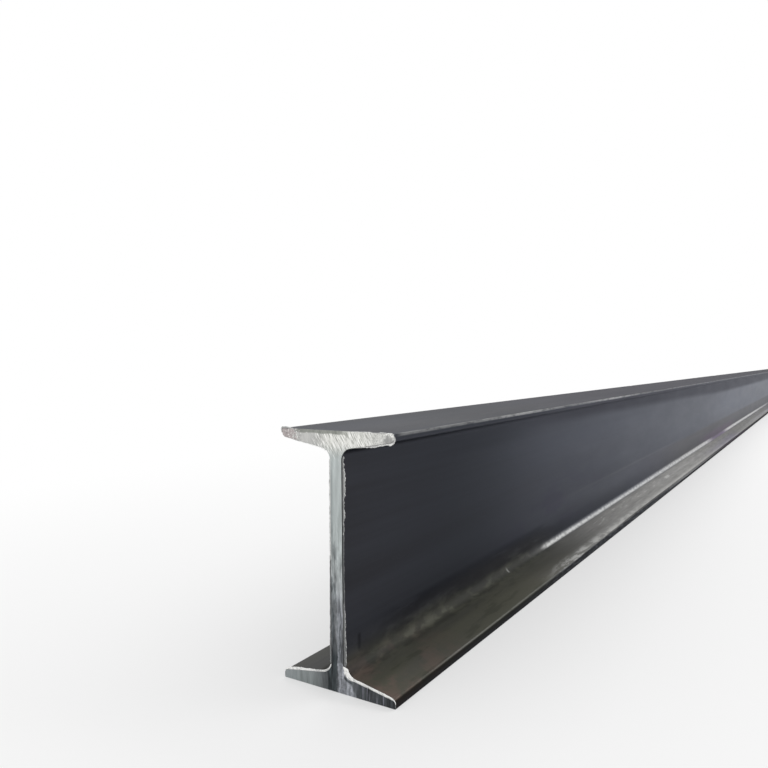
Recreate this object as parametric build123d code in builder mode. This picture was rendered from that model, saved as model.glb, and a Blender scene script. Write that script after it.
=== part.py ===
from build123d import *
import os

# A hot-rolled steel I-beam with tapered flanges, sawn square at both ends.
# It stands on its bottom flange. The length runs along X, the flanges spread along Y, and Z is up.
# The origin is on the floor, under the middle of the beam. All sizes are in millimetres.

# Driving dimensions
length = 6000.0
depth = 203.0
flange_width = 106.0
web_thickness = 11.2
flange_thickness = 10.8  # taken halfway between the web and the toe
flange_slope = 1 / 6  # rise of the inner face towards the web
root_radius = 9.4  # inside corner between web and flange
toe_radius = 4.1  # rounded inner edge of each flange tip
corner_radius = 1.0  # rounded outer edge of each flange tip

# Worked out from them
half_depth = depth / 2
half_width = flange_width / 2
half_web = web_thickness / 2
outstand = half_width - half_web
toe_thickness = flange_thickness - flange_slope * outstand / 2
root_thickness = flange_thickness + flange_slope * outstand / 2

# The section's sharp corners, about its own middle: the upper right ones first, which the rest mirror
upper_right = [
    (half_width, half_depth),
    (half_width, half_depth - toe_thickness),
    (half_web, half_depth - root_thickness),
]
right_side = upper_right + [(y, -z) for y, z in reversed(upper_right)]
left_side = [(-y, z) for y, z in reversed(right_side)]
side_radii = [corner_radius, toe_radius, root_radius, root_radius, toe_radius, corner_radius]

# The plane of the near end, centred on the section
sawn_end = Plane(origin=(-length / 2, 0, half_depth), x_dir=(0, 1, 0), z_dir=(1, 0, 0))

with BuildPart() as i_beam:
    with BuildSketch(sawn_end) as section:
        with BuildLine() as outline:
            FilletPolyline(*right_side, *left_side, radius=side_radii + side_radii, close=True)
        make_face()
    extrude(amount=length)

i_beam.part.label = "i_beam"

os.makedirs("parts", exist_ok=True)
export_step(i_beam.part, "parts/i_beam.step")
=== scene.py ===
"""The looks of a hot-rolled steel I-beam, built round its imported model."""

import logging
import math
import random
from bisect import bisect_right
from dataclasses import dataclass, field
from enum import Enum, IntEnum

import bpy
from mathutils import Matrix, Vector
from mathutils.geometry import delaunay_2d_cdt


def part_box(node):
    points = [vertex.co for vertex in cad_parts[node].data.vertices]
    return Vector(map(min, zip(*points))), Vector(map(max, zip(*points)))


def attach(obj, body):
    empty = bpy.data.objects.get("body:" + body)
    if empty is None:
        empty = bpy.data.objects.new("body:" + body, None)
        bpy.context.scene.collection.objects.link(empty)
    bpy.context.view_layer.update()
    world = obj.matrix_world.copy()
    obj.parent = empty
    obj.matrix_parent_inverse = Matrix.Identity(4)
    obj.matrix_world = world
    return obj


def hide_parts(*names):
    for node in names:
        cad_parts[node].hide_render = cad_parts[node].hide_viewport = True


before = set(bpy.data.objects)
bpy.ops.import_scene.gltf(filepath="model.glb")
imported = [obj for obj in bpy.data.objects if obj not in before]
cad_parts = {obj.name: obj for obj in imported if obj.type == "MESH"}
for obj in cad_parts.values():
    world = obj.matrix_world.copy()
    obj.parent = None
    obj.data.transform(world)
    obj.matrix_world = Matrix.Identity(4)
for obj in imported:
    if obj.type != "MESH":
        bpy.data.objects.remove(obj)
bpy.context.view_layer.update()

logging.basicConfig(level=logging.INFO, format="%(message)s")
LOG = logging.getLogger("i_beam")

NODE = "i_beam"
BODY = "root"
MM = 0.001

Point = tuple[float, float]
Place = tuple[float, float, float]
Colour = tuple[float, float, float]


class Corner(IntEnum):
    """The twelve corners of the section, in the order of a walk round it from the bottom right."""

    BOTTOM_RIGHT = 0
    LOWER_TOE_RIGHT = 1
    LOWER_ROOT_RIGHT = 2
    UPPER_ROOT_RIGHT = 3
    UPPER_TOE_RIGHT = 4
    TOP_RIGHT = 5
    TOP_LEFT = 6
    UPPER_TOE_LEFT = 7
    UPPER_ROOT_LEFT = 8
    LOWER_ROOT_LEFT = 9
    LOWER_TOE_LEFT = 10
    BOTTOM_LEFT = 11


class End(Enum):
    """One sawn end of the beam, and the way along X that it faces."""

    NEAR = -1
    FAR = 1


@dataclass
class Section:
    """The rolled section, seen from the near end: across is to the right of that view, up is up.

    Sizes are in metres, and the outline runs anticlockwise in that view, from the middle of the underside.
    """

    depth: float
    width: float
    web: float = 11.2 * MM
    flange: float = 10.8 * MM
    slope: float = 1 / 6
    root_radius: float = 9.4 * MM
    toe_radius: float = 4.1 * MM
    corner_radius: float = 1.0 * MM
    flat_step: float = 9.5 * MM
    corner_steps: int = 4
    toe_steps: int = 6
    root_steps: int = 10
    points: list[Point] = field(init=False, default_factory=list)
    girths: list[float] = field(init=False, default_factory=list)
    corner_girths: dict[Corner, float] = field(init=False, default_factory=dict)

    def __post_init__(self) -> None:
        """Works out the outline once."""
        self._walk()

    @property
    def toe(self) -> float:
        """Thickness of a flange at its tip, before the tip is rounded."""
        return self.flange - self.slope * (self.width - self.web) / 4

    @property
    def root(self) -> float:
        """Thickness of a flange at the web, before the root is filleted."""
        return self.flange + self.slope * (self.width - self.web) / 4

    @property
    def root_centre(self) -> Point:
        """The middle of the lower right root's fillet."""
        r = self.root_radius
        return self.web / 2 + r, self.root - self.slope * r + r * math.hypot(1, self.slope)

    @property
    def girth(self) -> float:
        """Length of the whole outline."""
        return self.girths[-1]

    def _corners(self) -> list[tuple[Point, float, int]]:
        """Works out the section's corners.

        Returns:
            Each corner's sharp place, its radius and the number of steps on its arc.
        """
        half, web = self.width / 2, self.web / 2
        lower = [
            ((half, 0.0), self.corner_radius, self.corner_steps),
            ((half, self.toe), self.toe_radius, self.toe_steps),
            ((web, self.root), self.root_radius, self.root_steps),
        ]
        right = lower + [((x, self.depth - z), r, n) for (x, z), r, n in reversed(lower)]
        return right + [((-x, z), r, n) for (x, z), r, n in reversed(right)]

    def _walk(self) -> None:
        """Fills in the outline's points, the distance walked at each, and where each corner lies."""
        corners = self._corners()
        places = [Vector(place) for place, _, _ in corners]
        walked = [Vector((0.0, 0.0))]
        marks: list[int] = []
        for i, (_, radius, steps) in enumerate(corners):
            here, before, after = places[i], places[i - 1], places[(i + 1) % len(places)]
            into, out = (here - before).normalized(), (after - here).normalized()
            turn = math.atan2(into.x * out.y - into.y * out.x, into.dot(out))
            tangent = radius * math.tan(abs(turn) / 2)
            start = here - into * tangent
            self._straight(walked, start)
            side = Vector((-into.y, into.x)) * math.copysign(radius, turn)
            centre = start + side
            for k in range(1, steps + 1):
                walked.append(centre + Matrix.Rotation(turn * k / steps, 2) @ -side)
            marks.append(len(walked) - 1 - steps // 2)
        self._straight(walked, Vector((0.0, 0.0)))
        self.points = [(p.x, p.y) for p in walked]
        self.girths = [0.0]
        for a, b in zip(walked, walked[1:]):
            self.girths.append(self.girths[-1] + (b - a).length)
        self.corner_girths = {corner: self.girths[marks[corner]] for corner in Corner}

    def _straight(self, walked: list[Vector], goal: Vector) -> None:
        """Adds a straight stretch to the walk.

        Args:
            walked: the points so far.
            goal: where the stretch ends.
        """
        start = walked[-1]
        count = max(1, math.ceil((goal - start).length / self.flat_step))
        walked.extend(start.lerp(goal, k / count) for k in range(1, count + 1))

    def at(self, girth: float) -> tuple[Vector, Vector]:
        """Finds a place on the outline.

        Args:
            girth: the distance walked round it.

        Returns:
            The place, and the direction that points out of the steel there.
        """
        i = min(max(bisect_right(self.girths, girth) - 1, 0), len(self.points) - 2)
        a, b = Vector(self.points[i]), Vector(self.points[i + 1])
        share = (girth - self.girths[i]) / (self.girths[i + 1] - self.girths[i])
        along = (b - a).normalized()
        return a.lerp(b, share), Vector((along.y, -along.x))

    def inset(self, amount: float) -> list[Point]:
        """Moves the outline into the steel.

        Args:
            amount: how far each point moves.

        Returns:
            The moved points, without the repeated last one.
        """
        ring = [Vector(p) for p in self.points[:-1]]
        moved = []
        for i, p in enumerate(ring):
            along = (ring[(i + 1) % len(ring)] - ring[i - 1]).normalized()
            q = p + Vector((-along.y, along.x)) * amount
            moved.append((q.x, q.y))
        return moved

    def half_width_at(self, up: float) -> float:
        """Measures half the section's width at a height.

        Args:
            up: the height above the underside.

        Returns:
            How far the steel reaches to the right there.
        """
        reach = 0.0
        for (x0, z0), (x1, z1) in zip(self.points, self.points[1:]):
            if min(z0, z1) <= up <= max(z0, z1) and z0 != z1:
                reach = max(reach, x0 + (x1 - x0) * (up - z0) / (z1 - z0))
        return reach


@dataclass(frozen=True)
class Socket:
    """A value in a node tree, which Python's operators combine by adding Math nodes."""

    board: "Board"
    link: bpy.types.NodeSocket

    def _math(self, operation: str, *values: "float | Socket") -> "Socket":
        """Adds one Math node."""
        return self.board.out("ShaderNodeMath", {"operation": operation}, dict(enumerate(values)))

    def __add__(self, other: "float | Socket") -> "Socket":
        """Sum."""
        return self._math("ADD", self, other)

    def __radd__(self, other: float) -> "Socket":
        """Sum with a plain number in front."""
        return self._math("ADD", other, self)

    def __sub__(self, other: "float | Socket") -> "Socket":
        """Difference."""
        return self._math("SUBTRACT", self, other)

    def __rsub__(self, other: float) -> "Socket":
        """Difference from a plain number."""
        return self._math("SUBTRACT", other, self)

    def __mul__(self, other: "float | Socket") -> "Socket":
        """Product."""
        return self._math("MULTIPLY", self, other)

    def __rmul__(self, other: float) -> "Socket":
        """Product with a plain number in front."""
        return self._math("MULTIPLY", other, self)

    def __truediv__(self, other: "float | Socket") -> "Socket":
        """Quotient."""
        return self._math("DIVIDE", self, other)

    def __rtruediv__(self, other: float) -> "Socket":
        """Quotient of a plain number over this value."""
        return self._math("DIVIDE", other, self)

    def __abs__(self) -> "Socket":
        """Size without sign."""
        return self._math("ABSOLUTE", self)

    def __pow__(self, other: float) -> "Socket":
        """Power."""
        return self._math("POWER", self, other)

    def smallest(self, other: "float | Socket") -> "Socket":
        """The smaller of two values."""
        return self._math("MINIMUM", self, other)

    def largest(self, other: "float | Socket") -> "Socket":
        """The larger of two values."""
        return self._math("MAXIMUM", self, other)

    def cosine(self) -> "Socket":
        """Cosine."""
        return self._math("COSINE", self)

    def sine(self) -> "Socket":
        """Sine."""
        return self._math("SINE", self)

    def angle_over(self, other: "Socket") -> "Socket":
        """The angle whose tangent is this value over another."""
        return self._math("ARCTAN2", self, other)

    def rise(self, low: float, high: float) -> "Socket":
        """A smooth step from 0 to 1.

        Args:
            low: where it leaves 0.
            high: where it reaches 1. Below low, the step falls instead.

        Returns:
            The step's height.
        """
        falls = high < low
        stops = {"Value": self, "From Min": min(low, high), "From Max": max(low, high)}
        step = self.board.out("ShaderNodeMapRange", {"interpolation_type": "SMOOTHSTEP"}, stops)
        return 1 - step if falls else step

    def bump_at(self, middle: float, reach: float) -> "Socket":
        """A smooth hill of height 1.

        Args:
            middle: the value at the hill's top.
            reach: how far from it the hill ends.

        Returns:
            The hill's height.
        """
        return abs(self - middle).rise(reach, 0.0)


class Board:
    """Adds nodes to one tree."""

    def __init__(self, tree: bpy.types.NodeTree) -> None:
        """Starts with an empty tree."""
        self.tree = tree
        tree.nodes.clear()

    def add(self, kind: str, settings: dict | None = None, sockets: dict | None = None) -> bpy.types.Node:
        """Adds a node.

        Args:
            kind: the node's type.
            settings: its properties, set first.
            sockets: the value or link of each input, by name or number.

        Returns:
            The node.
        """
        node = self.tree.nodes.new(kind)
        for name, value in (settings or {}).items():
            if name == "stops":
                self._set_stops(node.color_ramp, value)
            else:
                setattr(node, name, value)
        for name, value in (sockets or {}).items():
            self._feed(node.inputs[name], value)
        return node

    def out(
        self, kind: str, settings: dict | None = None, sockets: dict | None = None, pick: int | str = 0
    ) -> Socket:
        """Adds a node.

        Args:
            kind: the node's type.
            settings: its properties.
            sockets: its inputs.
            pick: the number or name of the output that is wanted.

        Returns:
            That output.
        """
        return Socket(self, self.add(kind, settings, sockets).outputs[pick])

    def _feed(self, target: bpy.types.NodeSocket, value: object) -> None:
        """Links or sets one input.

        Args:
            target: the input.
            value: a link, or a number, vector, colour, name or material.
        """
        if isinstance(value, Socket):
            self.tree.links.new(value.link, target)
        elif isinstance(value, bpy.types.NodeSocket):
            self.tree.links.new(value, target)
        elif isinstance(value, tuple) and target.type == "RGBA":
            target.default_value = (*value, 1.0)
        else:
            target.default_value = value

    @staticmethod
    def _set_stops(ramp: bpy.types.ColorRamp, stops: list[tuple[float, Colour]]) -> None:
        """Gives a colour ramp its stops.

        Args:
            ramp: the ramp.
            stops: the place and the colour of each stop.
        """
        while len(ramp.elements) < len(stops):
            ramp.elements.new(1.0)
        for element, (place, colour) in zip(ramp.elements, stops):
            element.position = place
            element.color = (*colour, 1.0)

    def vector(self, x: float | Socket, y: float | Socket, z: float | Socket) -> Socket:
        """Joins three values."""
        return self.out("ShaderNodeCombineXYZ", sockets={0: x, 1: y, 2: z})

    def parts(self, vector: Socket) -> tuple[Socket, Socket, Socket]:
        """Splits a vector into its three values."""
        node = self.add("ShaderNodeSeparateXYZ", sockets={0: vector})
        return Socket(self, node.outputs[0]), Socket(self, node.outputs[1]), Socket(self, node.outputs[2])

    def noise(self, place: Socket, scale: float | Socket, detail: float, rough: float) -> Socket:
        """Smooth noise between about 0.2 and 0.8.

        Args:
            place: where it is read.
            scale: its frequency.
            detail: how many finer layers it has.
            rough: how strong they are.

        Returns:
            The noise.
        """
        sockets = {"Vector": place, "Scale": scale, "Detail": detail, "Roughness": rough}
        return self.out("ShaderNodeTexNoise", sockets=sockets)

    def stretched(self, x: Socket, y: Socket, z: float | Socket, detail: float, rough: float) -> Socket:
        """Smooth noise with a frequency of its own in each direction.

        Args:
            x: the first place, times its frequency.
            y: the second, likewise.
            z: the third, likewise, or a number that sets this noise apart from others.
            detail: how many finer layers it has.
            rough: how strong they are.

        Returns:
            The noise.
        """
        return self.noise(self.vector(x, y, z), 1.0, detail, rough)

    def scaled(self, vector: Socket, factor: Socket) -> Socket:
        """Scales a vector."""
        return self.out("ShaderNodeVectorMath", {"operation": "SCALE"}, {0: vector, "Scale": factor})

    def summed(self, first: Socket, second: Socket) -> Socket:
        """Adds two vectors."""
        return self.out("ShaderNodeVectorMath", {"operation": "ADD"}, {0: first, 1: second})

    def carried(self, kind: str, name: str) -> Socket:
        """Reads a value that the mesh carries, in a geometry tree."""
        return self.out("GeometryNodeInputNamedAttribute", {"data_type": kind}, {"Name": name})

    def mix(self, share: float | Socket, first: Colour | Socket, second: Colour | Socket) -> Socket:
        """Mixes two colours.

        Args:
            share: how much of the second there is.
            first: the colour at 0.
            second: the colour at 1.

        Returns:
            The mixed colour.
        """
        settings = {"data_type": "RGBA", "blend_type": "MIX"}
        return self.out("ShaderNodeMix", settings, {0: share, 6: first, 7: second}, pick=2)

    def shade(self, share: float | Socket, base: Socket, tint: Colour | Socket) -> Socket:
        """Multiplies a colour by a tint.

        Args:
            share: how strongly.
            base: the colour.
            tint: what it is multiplied by.

        Returns:
            The tinted colour.
        """
        settings = {"data_type": "RGBA", "blend_type": "MULTIPLY"}
        return self.out("ShaderNodeMix", settings, {0: share, 6: base, 7: tint}, pick=2)

    def grey(self, value: Socket) -> Socket:
        """Makes a grey colour of a value."""
        return self.out("ShaderNodeCombineColor", sockets={0: value, 1: value, 2: value})


@dataclass(frozen=True)
class Where:
    """Where on the beam a finish is, as sockets that hold metres, and the section that it lies on."""

    board: Board
    section: Section
    place: Socket
    along: Socket
    across: Socket
    out: Socket
    up: Socket
    girth: Socket

    def right(self) -> Socket:
        """1 on the beam's right half, and 0 on its left."""
        return self.across.rise(-MM, MM)

    def lower(self) -> Socket:
        """1 on the lower half of the section, and 0 on its upper half."""
        return self.up.rise(self.section.depth / 2, self.section.depth / 2 - 0.01)


@dataclass
class Coat:
    """A base colour that is built up in layers."""

    board: Board
    colour: Socket

    def lay(self, share: float | Socket, colour: Colour | Socket) -> None:
        """Covers what lies below, by a share, with a colour."""
        self.colour = self.board.mix(share, self.colour, colour)

    def tint(self, share: float | Socket, tint: Colour | Socket) -> None:
        """Multiplies what lies below, by a share, with a tint."""
        self.colour = self.board.shade(share, self.colour, tint)


@dataclass(frozen=True)
class Steel:
    """What every steel surface here has in common."""

    name: str
    ior: float = 1.4
    edge_tint: Colour = (1.0, 1.0, 1.0)

    def start(self) -> tuple[bpy.types.Material, Board]:
        """Makes the material.

        Returns:
            The material, and a board for its nodes.
        """
        material = bpy.data.materials.new(self.name)
        material.use_nodes = True
        return material, Board(material.node_tree)

    def where(self, board: Board, beam: "RolledBeam") -> Where:
        """Reads the place on the beam.

        Args:
            board: the material's board.
            beam: the beam, for its sizes.

        Returns:
            The place, as sockets.
        """
        place = board.out("ShaderNodeTexCoord", pick="Object")
        x, y, z = board.parts(place)
        rolling = board.out("ShaderNodeUVMap", {"uv_map": beam.rolling_map}, pick="UV")
        _, girth, _ = board.parts(rolling)
        return Where(board, beam.section, place, x + beam.length / 2, 0 - y, abs(y), z, girth)

    def close(self, coat: Coat, rough: Socket, metal: Socket, height: Socket, depth: float) -> None:
        """Joins the finished values to the shader.

        Args:
            coat: the base colour.
            rough: roughness.
            metal: metallic share.
            height: relief, where 1 is raised.
            depth: how far 1 stands above 0, in metres.
        """
        board = coat.board
        bump = board.out("ShaderNodeBump", sockets={"Strength": 1.0, "Distance": depth, "Height": height})
        sockets = {"Base Color": coat.colour, "Roughness": rough, "Metallic": metal, "Normal": bump}
        sockets.update({"IOR": self.ior, "Specular Tint": self.edge_tint})
        shader = board.out("ShaderNodeBsdfPrincipled", sockets=sockets)
        board.add("ShaderNodeOutputMaterial", sockets={"Surface": shader})


@dataclass(frozen=True)
class Noises:
    """The noises that several layers of the mill scale share."""

    broad: Socket
    streaks: Socket
    patches: Socket
    grain: Socket


@dataclass(frozen=True)
class MillScale(Steel):
    """Blue-grey scale of hot rolling: streaked along the beam, dusty where it faces up, worn on edges, with
    painted shade and painted highlights.

    Every place in it is in metres: along from the near end, out from the web's middle to either side, and up
    from the underside. The colours up to the one of wear and painted highlight cover what lies below them,
    and the others multiply it.
    """

    name: str = "mill_scale"
    ior: float = 1.33
    edge_tint: Colour = (0.71, 0.735, 0.80)
    dark: Colour = (0.0235, 0.0228, 0.0252)
    light: Colour = (0.048, 0.052, 0.064)
    dust: Colour = (0.345, 0.340, 0.330)
    violet: Colour = (0.310, 0.295, 0.350)
    bed: Colour = (0.056, 0.056, 0.050)
    olive: Colour = (0.070, 0.070, 0.050)
    brown: Colour = (0.125, 0.085, 0.072)
    flange_shade: Colour = (0.0250, 0.0225, 0.0285)
    film: Colour = (0.064, 0.060, 0.097)
    bruise: Colour = (0.118, 0.072, 0.152)
    smear: Colour = (0.028, 0.029, 0.020)
    smudge: Colour = (0.118, 0.120, 0.095)
    soot: Colour = (0.006, 0.006, 0.008)
    toe_shade: Colour = (0.0058, 0.0048, 0.0030)
    strip: Colour = (0.11, 0.115, 0.12)
    rubbed: Colour = (0.66, 0.66, 0.64)
    near_shade: Colour = (0.50, 0.50, 0.49)
    far_painted_reflection: Colour = (1.95, 1.95, 1.95)
    band_shade: Colour = (0.72, 0.72, 0.72)
    haze: Colour = (0.80, 0.70, 0.87)
    glow: Colour = (1.30, 1.30, 1.26)
    outer_bed: Colour = (1.25, 1.22, 1.20)
    far_dust: Colour = (1.42, 1.44, 1.56)
    inner_dust: Colour = (1.16, 1.16, 1.17)
    near_foot: Colour = (1.25, 1.25, 1.22)
    root_shade: Colour = (0.78, 0.78, 0.79)
    pale_bed: Colour = (1.30, 1.28, 1.30)
    left_bed_shade: Colour = (0.42, 0.42, 0.44)
    smudge_gap_shade: Colour = (0.62, 0.62, 0.64)
    roughness: float = 0.36
    metallic: float = 0.92
    relief_depth: float = 0.10 * MM
    dust_and_shade_edge: float = 0.48
    soot_height: float = 0.034
    line_start: float = 0.45
    line_gap: float = 2.07
    fillet_line_out: float = 2.4 * MM
    fillet_line_half: float = 2.9 * MM
    scratch_along: float = 1.150

    def build(self, beam: "RolledBeam") -> bpy.types.Material:
        """Makes the material.

        Args:
            beam: the beam, for its sizes.

        Returns:
            The material.
        """
        material, board = self.start()
        where = self.where(board, beam)
        noises = Noises(
            broad=board.stretched(where.along * 0.55, where.girth * 12, 0.0, 3, 0.55),
            streaks=board.stretched(where.along * 1.6, where.girth * 230, 3.0, 4, 0.6),
            patches=board.stretched(where.along * 6, where.girth * 26, 7.0, 5, 0.6),
            grain=board.noise(where.place, 900, 3, 0.6),
        )
        band = self._dark_band(where, noises)
        bed = self._bed(where)
        skirt = self._skirt(where) * (1 - bed)
        track = self._track(where)
        wear_and_highlight = self._wear_and_highlight(where)
        toe = self._toe_side(where) * (1 - wear_and_highlight)

        coat = self._scale(where, noises)
        # Painted shade on the web below the top flange.
        coat.lay(band * 0.85, self.flange_shade)
        self._lay_film(coat, where, bed, skirt)
        self._lay_dust(coat, where, bed, noises)
        self._stain_foot(coat, where)
        self._stain_root(coat, where, noises)
        self._lay_soot(coat, where)
        self._tone_bed(coat, where, bed)
        self._smudge_root(coat, where, track)
        # Bright steel where worn, and a painted highlight along the lower roots.
        coat.lay(wear_and_highlight * 0.9, self.rubbed)
        self._paint_toe_shade(coat, where, toe)

        patches, grain = noises.patches, noises.grain
        top = where.up.rise(where.section.depth - 0.0012, where.section.depth - 0.0004)
        rough = self.roughness + (patches - 0.5) * 0.12 + (grain - 0.5) * 0.1 - wear_and_highlight * 0.05
        rough = rough + band * 0.10 + bed * 0.2 + track * 0.25 + top * 0.18
        rough = rough + toe * (0.2 + 0.3 * where.along.rise(0.8, 1.6)) + skirt * 0.10
        metal = self.metallic * (1 - bed.largest(track) * 0.92) * (1 - top * 0.55) * (1 - skirt * 0.6)
        relief = grain * 0.35 + noises.streaks * 0.4 + patches * 0.25
        self.close(coat, rough, metal, relief, self.relief_depth)
        return material

    def _scale(self, where: Where, noises: Noises) -> Coat:
        """The bare scale: darker and plainer near the end in painted shade, lighter and bluer further on in a
        painted reflection.

        Args:
            where: the place on the beam.
            noises: the shared noises.

        Returns:
            The first layer of the base colour.
        """
        board, along, up = where.board, where.along, where.up
        tone = noises.broad.rise(0.36, 0.66) * 0.4 + noises.patches.rise(0.35, 0.7) * 0.15
        # The rise along the beam paints shade near the end and a lighter reflection further on.
        tone = tone + (noises.streaks - 0.5) * 0.4 + along.rise(0.25, 1.4) * 0.28
        coat = Coat(board, board.mix(tone.smallest(1.0).largest(0.0), self.dark, self.light))
        coat.tint(along.bump_at(0.22, 0.26), self.near_shade)
        # Painted reflection on the far part of the web.
        coat.tint(along.rise(1.8, 2.4) * up.rise(0.165, 0.140), self.far_painted_reflection)
        coat.tint(along.bump_at(0.30, 0.18) * up.rise(0.155, 0.170), self.band_shade)
        clouds = board.stretched(along * 9, up * 34, where.across * 30 + 5.0, 4, 0.6)
        haze = clouds.rise(0.46, 0.58) * along.bump_at(0.52, 0.34) * up.bump_at(0.062, 0.058)
        coat.tint(haze, self.haze)
        glow = along.bump_at(0.80, 0.24) * up.bump_at(0.045, 0.022)
        coat.tint(glow, self.glow)
        return coat

    def _dark_band(self, where: Where, noises: Noises) -> Socket:
        """The darker, rougher band of the web below the top flange, which widens away from the near end; its
        darkness is painted shade.

        Args:
            where: the place on the beam.
            noises: the shared noises.

        Returns:
            1 in the band, and 0 elsewhere.
        """
        edge = where.up + (where.along.smallest(2.2) * 0.012) + (noises.broad - 0.5) * 0.01
        depth = where.section.depth
        return edge.rise(depth - 0.030, depth - 0.015) * where.along.rise(0.06, 0.75)

    def _bed(self, where: Where) -> Socket:
        """The upward faces of the lower flange, where dust lies, and the lowest part of the web above them.

        Args:
            where: the place on the beam.

        Returns:
            1 there, and 0 elsewhere.
        """
        half, web = where.section.width / 2, where.section.web / 2
        flat = where.out.rise(web + 0.001, web + 0.009) * where.up.rise(0.045, 0.025)
        return flat * where.up.rise(0.001, 0.004) * where.out.rise(half - 0.0017, half - 0.0034)

    def _skirt(self, where: Where) -> Socket:
        """The web's foot, away from the near end: 1 there, and 0 elsewhere."""
        return where.up.rise(0.067, 0.056) * where.along.rise(0.7, 1.7)

    def _track(self, where: Where) -> Socket:
        """The lower roots near the end, where the smudges are: 1 there, and 0 elsewhere."""
        return where.out.rise(0.022, 0.014) * where.up.rise(0.046, 0.026) * where.along.rise(0.50, 0.38)

    def _toe_side(self, where: Where) -> Socket:
        """The upright sides of the lower flange's tips, with all of their rounding away from the near end.

        Args:
            where: the place on the beam.

        Returns:
            1 there, and 0 elsewhere.
        """
        half, toe = where.section.width / 2, where.section.toe
        spread = where.along.rise(0.30, 0.85) * 0.0016
        out = (where.out + spread).rise(half - 0.0034, half - 0.0022)
        return out * (where.up - spread).rise(toe + 0.0001, toe - 0.0012)

    def _lay_film(self, coat: Coat, where: Where, bed: Socket, skirt: Socket) -> None:
        """Adds the lower flange's own tone and the violet film on the web's foot.

        Args:
            coat: the base colour.
            where: the place on the beam.
            bed: the lower flange's upward faces.
            skirt: the web's foot, away from the near end.
        """
        coat.lay(bed * 0.9, self.bed)
        coat.tint(bed * where.out.rise(0.025, 0.050), self.outer_bed)
        bruise = where.along.bump_at(2.12, 0.55).rise(0.0, 0.6) * where.up.rise(0.050, 0.030)
        film = where.board.mix(bruise, self.film, self.bruise)
        coat.lay(skirt * (0.7 + 0.2 * bruise), film)

    def _lay_dust(self, coat: Coat, where: Where, bed: Socket, noises: Noises) -> None:
        """Adds the dust on the lower flange, which starts some way in from the near end, where the painted
        shade there stops, and shows less on the left side, as painted shade.

        Args:
            coat: the base colour.
            where: the place on the beam.
            bed: the lower flange's upward faces.
            noises: the shared noises.
        """
        board, along, out = where.board, where.along, where.out
        # Less dust on the left side: painted shade.
        unshaded_share = 0.30 + 0.70 * where.right()
        reach = along + (noises.patches - 0.5) * 0.12 + (out - 0.030) * 0.3
        # No dust before the edge of the painted shade over the near end.
        dusty = bed * reach.rise(self.dust_and_shade_edge - 0.13, self.dust_and_shade_edge + 0.25) * unshaded_share
        violet = noises.broad.rise(0.45, 0.6) * along.rise(1.4, 2.0)
        dust = Coat(board, board.mix(violet, self.dust, self.violet))
        dust.tint(1.0, board.grey(1 + 0.45 * along.bump_at(1.34, 0.95)))
        drift = board.stretched(along * 22, where.girth * 420, 13.0, 4, 0.65)
        mottle = board.stretched(along * 15, where.girth * 120, 33.0, 4, 0.65)
        dust.tint(1.0, board.grey(0.10 + 0.80 * drift + 1.00 * mottle))
        dust.tint(out.bump_at(0.038, 0.009) * along.rise(2.4, 3.2), self.far_dust)
        dust.tint(out.bump_at(0.025, 0.010) * along.bump_at(1.25, 0.60), self.inner_dust)
        coat.lay(dusty * (0.72 + 0.5 * (noises.streaks - 0.5)), dust.colour)

    def _stain_foot(self, coat: Coat, where: Where) -> None:
        """Adds the browner foot of the web, and the faint dusty lip over it.

        Args:
            coat: the base colour.
            where: the place on the beam.
        """
        along, up = where.along, where.up
        foot = up.rise(0.066, 0.060) * up.rise(0.016, 0.022) * along.rise(0.3, 0.7) * along.rise(4.8, 4.0)
        coat.lay(foot * 0.45 * along.rise(0.9, 1.5), self.olive)
        coat.tint(foot * along.rise(1.5, 0.9), self.near_foot)
        coat.lay(up.bump_at(0.0645, 0.0035) * along.bump_at(1.0, 0.7) * 0.10, self.dust)

    def _stain_root(self, coat: Coat, where: Where, noises: Noises) -> None:
        """Adds olive and brown stains by the lower root near the end.

        Args:
            coat: the base colour.
            where: the place on the beam.
            noises: the shared noises.
        """
        board, along, up = where.board, where.along, where.up
        low = up.rise(0.036, 0.016) * up.rise(0.0, 0.004)
        stain = low * along.rise(0.60, 0.25) * (0.45 + noises.patches.rise(0.3, 0.6) * 0.55)
        coat.lay(stain * 0.85, self.olive)
        bloom = board.noise(where.place, 24, 4, 0.65).rise(0.42, 0.58) * along.rise(0.16, 0.02)
        bloom = bloom * up.rise(0.03, 0.014) * where.across.rise(0.0, 0.01)
        coat.lay(bloom * 0.55, self.brown)
        smear = board.stretched(along * 16, where.girth * 90, 17.0, 3, 0.6).rise(0.54, 0.64)
        coat.lay(smear * low * along.rise(0.45, 0.2) * 0.45, self.smear)

    def _lay_soot(self, coat: Coat, where: Where) -> None:
        """Adds the soot over the lower root, the grey strip along the sawn edge and the dark tick behind it.

        Args:
            coat: the base colour.
            where: the place on the beam.
        """
        board, along, up = where.board, where.along, where.up
        drift = along.bump_at(0.30, 0.12) * 0.07 - along.bump_at(0.14, 0.08) * 0.05
        soot = board.stretched(along * 8, up * 60, where.across * 10, 4, 0.6)
        soot = (soot + drift).rise(0.38, 0.50)
        soot = soot * up.bump_at(self.soot_height, 0.018).rise(0.1, 0.6) * along.rise(0.60, 0.35)
        coat.lay(soot * along.rise(0.03, 0.12) * 0.85, self.soot)
        coat.lay(along.rise(0.0024, 0.0016) * up.rise(0.024, 0.030) * 0.8, self.strip)
        tick = along.bump_at(0.0225, 0.004) * up.bump_at(self.soot_height, 0.009).rise(0.0, 0.5)
        coat.lay(tick * where.across.rise(0.0, 0.002) * 0.8, self.soot)

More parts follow.
